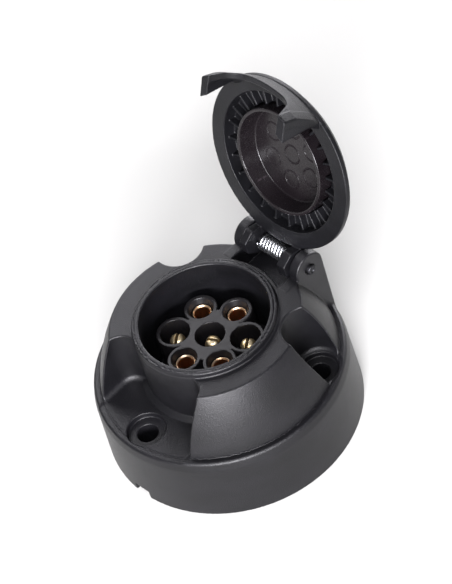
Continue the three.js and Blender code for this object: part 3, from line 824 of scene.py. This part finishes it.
def cup(x, y, z):
    body = CUP(np.sqrt(x * x + y * y), z)
    for _, circle, angle, _, _ in CONTACTS:
        cx, cy = polar(circle * MARK_SPREAD, angle)
        cr = np.sqrt((x - cx) ** 2 + (y - cy) ** 2)
        ring = np.sqrt((cr - MARK_R) ** 2 + (z - CUP_FLOOR_Z) ** 2) - MARK_WIRE_R
        body = join(0.15, body, ring)
    return body


# Hinge pin and spring

def hinge_pin(x, y, z):
    r = np.sqrt(y * y + z * z)
    body = meet(0.3, r - PIN_R, span(x, PIN_LOW.x, PIN_HIGH.x))
    dimple = np.sqrt((x - PIN_HIGH.x - DIMPLE_LIFT) ** 2 + r * r) - DIMPLE_R
    return cut(0.08, body, dimple)


def spring_mesh():
    """Close coils as a swept tube, with a leg standing up from the left end."""
    wire, mean, steps, sides = SPRING_WIRE_R, SPRING_MEAN_R, 40, 12
    start, end = SPRING_LOW.x + wire, SPRING_HIGH.x - wire
    t = np.linspace(0, 1, SPRING_TURNS * steps + 1)
    angle = math.pi + 2 * math.pi * SPRING_TURNS * t
    coil = np.stack((start + (end - start) * t, mean * np.cos(angle), mean * np.sin(angle)), 1)
    rise = np.stack([(start, -mean, SPRING_LEG * k) for k in np.linspace(1, 0.1, 8)])
    centre = np.concatenate((rise, coil))
    tangent = np.gradient(centre, axis=0)
    tangent /= np.linalg.norm(tangent, axis=1)[:, None]
    out = np.concatenate((np.tile((0, -1, 0), (len(rise), 1)), coil * (0, 1, 1) / mean))
    side = np.cross(tangent, out)
    side /= np.linalg.norm(side, axis=1)[:, None]
    ring = 2 * math.pi * np.arange(sides) / sides
    spin = out[:, None] * np.cos(ring)[None, :, None] + side[:, None] * np.sin(ring)[None, :, None]
    points = (centre[:, None] + wire * spin).reshape(-1, 3)
    ends = np.array((centre[0] - tangent[0] * wire * 0.5, centre[-1] + tangent[-1] * wire * 0.5))
    points = np.concatenate((points, ends))
    faces = []
    for i in range(len(centre) - 1):
        for k in range(sides):
            a, b = i * sides + k, i * sides + (k + 1) % sides
            faces.append((a, b, b + sides, a + sides))
    last = (len(centre) - 1) * sides
    for k in range(sides):
        faces.append((k, len(points) - 2, (k + 1) % sides))
        faces.append((last + k, last + (k + 1) % sides, len(points) - 1))
    data = bpy.data.meshes.new("spring")
    data.from_pydata((points + np.array((0, HINGE.y, HINGE.z))).tolist(), [], faces)
    data.shade_smooth()
    return data


# Assembly

def turned(x, y, z, degrees=0):
    return SHUT @ Matrix.Translation((x, y, z)) @ Matrix.Rotation(math.radians(degrees), 4, "Z")


def build():
    r = BASE_R
    place("housing_shell", carve("housing", housing, (-r, -r, 0), (r, r, HINGE.z + EAR_R), 0.445, 0.4),
          "socket", "housing_plastic", HOUSING_PLASTIC, ["housing"])
    place("insert_body", carve("insert", insert, INSERT_LOW, INSERT_HIGH, 0.32, 0.5),
          "socket", "insert_plastic", INSERT_PLASTIC, ["contact_insert"])

    c = CONTACT_R
    tube = carve("tube", contact_tube, (-c, -c, TERMINAL_Z), (c, c, FEMALE_TOP_Z), 0.16, 0.5)
    pin_box = (-c, -c, TERMINAL_Z), (c, c, MALE_TOP_Z)
    clamp = slotted_screw("clamp_screw", shank_r=1.3, head_r=2.1, length=1.7, head=1.5, step=0.1)
    for number, (name, circle, angle, slot, screw) in enumerate(CONTACTS, 1):
        data = carve(name, contact_pin(slot - screw), *pin_box, 0.16, 0.5) if "pin" in name else tube
        x, y = polar(circle, angle)
        brass = BRASS if "pin" in name else BORE_BRASS
        place(name + "_brass", data, "socket", "contact_brass", brass, [name], turned(x, y, 0, screw))
        at = turned(x, y, TERMINAL_SCREW_Z, screw) @ Matrix.Translation((TERMINAL_SCREW_X, 0, 0))
        place(f"clamp_screw_{number}", clamp, "socket", "screw_steel", SCREW_STEEL,
              [f"terminal_screw_{number}"], at @ Matrix.Rotation(math.pi / 2, 4, "Y"))

    fixing = slotted_screw("fixing", shank_r=0.95, head_r=2.9, length=10, head=2, step=0.16)
    for number, side in ((1, -1), (2, 1)):
        at = turned(side * INSERT_SCREW_X, 0, COLLAR_END_Z - 2.9) @ Matrix.Rotation(math.pi, 4, "X")
        place(f"fixing_screw_{number}", fixing, "socket", "screw_steel", SCREW_STEEL,
              [f"insert_screw_{number}"], at)

    pin = carve("pin", hinge_pin, (PIN_LOW.x, -PIN_R, -PIN_R), (PIN_HIGH.x, PIN_R, PIN_R), 0.14, 0.5)
    place("hinge_pin_steel", pin, "socket", "pin_steel", PIN_STEEL, ["hinge_pin"],
          SHUT @ Matrix.Translation((0, HINGE.y, HINGE.z)))
    place("lid_spring_coils", spring_mesh(), "socket", "spring_zinc", SPRING_STEEL, ["lid_spring"])

    lid_low = (-LID_R, -CLAW_TIP_R, FLANGE_Z - CLAW_DROP - 1)
    lid_high = (LID_R, LUG[5][0], LID_TOP_Z)
    cup_low = (-CUP_R, -CUP_R, FLANGE_Z)
    cup_high = (CUP_R, CUP_R, CUP_BACK_Z)
    place("lid_shell", carve("lid", lid, lid_low, lid_high, 0.36, 0.4), "lid", "lid_plastic", LID_PLASTIC,
          ["lid"], LID_OPEN)
    place("lid_cup_liner", carve("cup", cup, cup_low, cup_high, 0.26, 0.5), "lid", "cup_plastic", CUP_PLASTIC,
          ["lid_cup"], LID_OPEN)


build()


# Floor, light and camera

FLOOR_SIZE = 6
FLOOR_GAP = 0.0002
AIM_HEIGHT = 0.03
LIGHT_TINT = (0.96, 0.95, 1)


def flat_material(name, colour, rough):
    made, _, shader = new_material(name)
    shader.inputs["Base Color"].default_value = (*colour, 1)
    shader.inputs["Roughness"].default_value = rough
    return made


def studio():
    bpy.ops.mesh.primitive_plane_add(size=FLOOR_SIZE, location=(AXIS.x, AXIS.y, AXIS.z - FLOOR_GAP))
    floor = bpy.context.object
    floor.name = "studio_floor"
    floor.data.materials.append(flat_material("floor_white", (0.42, 0.42, 0.4), 0.9))

    world = bpy.data.worlds.new("studio")
    bpy.context.scene.world = world
    world.use_nodes = True
    tree = world.node_tree
    where = tree.nodes.new("ShaderNodeTexCoord")
    split = tree.nodes.new("ShaderNodeSeparateXYZ")
    height = tree.nodes.new("ShaderNodeMapRange")
    height.interpolation_type = "SMOOTHSTEP"
    for name, value in (("From Min", 0.0), ("From Max", 0.5), ("To Min", 0.7), ("To Max", 0.16)):
        height.inputs[name].default_value = value
    tree.links.new(where.outputs["Generated"], split.inputs["Vector"])
    tree.links.new(split.outputs["Z"], height.inputs["Value"])
    tree.nodes["Background"].inputs["Color"].default_value = (0.96, 0.955, 1, 1)
    tree.links.new(height.outputs["Result"], tree.nodes["Background"].inputs["Strength"])

    def softbox(name, azimuth, elevation, distance, size, power):
        a, e = math.radians(azimuth), math.radians(elevation)
        towards = Vector((math.sin(a) * math.cos(e), -math.cos(a) * math.cos(e), math.sin(e)))
        light = bpy.data.lights.new(name, "AREA")
        light.shape = "RECTANGLE"
        light.size, light.size_y = size
        light.energy = power
        light.color = LIGHT_TINT
        lamp = bpy.data.objects.new(name, light)
        bpy.context.scene.collection.objects.link(lamp)
        aim = AXIS + Vector((0, 0, AIM_HEIGHT))
        lamp.location = aim + towards * distance
        lamp.rotation_euler = towards.to_track_quat("Z", "Y").to_euler()

    for name, azimuth, elevation, distance, size, power in (
        ("key", 47, 23, 0.8, (0.45, 0.15), 22),
        ("front", 50, 55, 1.0, (0.5, 0.5), 12),
        ("top", 252, 37, 0.5, (0.25, 0.25), 1.5),
        ("back", 205, 16, 0.8, (0.6, 0.3), 8),
    ):
        softbox(name, azimuth, elevation, distance, size, power)


def photo_camera():
    """A long lens from the front right and above, leaning a little anticlockwise."""
    azimuth, elevation, roll = (math.radians(a) for a in (58.64, 48.0, -18.5))
    distance, pixels_per_mm, image_height = 0.9, 3.194, 584
    target = AXIS + Vector((-13.02, 18.2, 30)) * MM
    level = math.cos(elevation)
    back = Vector((math.sin(azimuth) * level, -math.cos(azimuth) * level, math.sin(elevation)))
    right = Vector((math.cos(azimuth), math.sin(azimuth), 0))
    up = back.cross(right)
    across = math.cos(roll) * right + math.sin(roll) * up
    upward = math.cos(roll) * up - math.sin(roll) * right
    camera = bpy.data.objects.new("camera", bpy.data.cameras.new("camera"))
    bpy.context.scene.collection.objects.link(camera)
    camera.data.sensor_fit = "AUTO"
    sensor = 36
    camera.data.sensor_width = sensor
    camera.data.lens = sensor * pixels_per_mm * distance / MM / image_height
    camera.data.clip_end = 20
    turn = Matrix((across, upward, back)).transposed().to_4x4()
    camera.matrix_world = Matrix.Translation(target + back * distance) @ turn
    bpy.context.scene.camera = camera


studio()
photo_camera()
bpy.context.scene.view_settings.view_transform = "Standard"
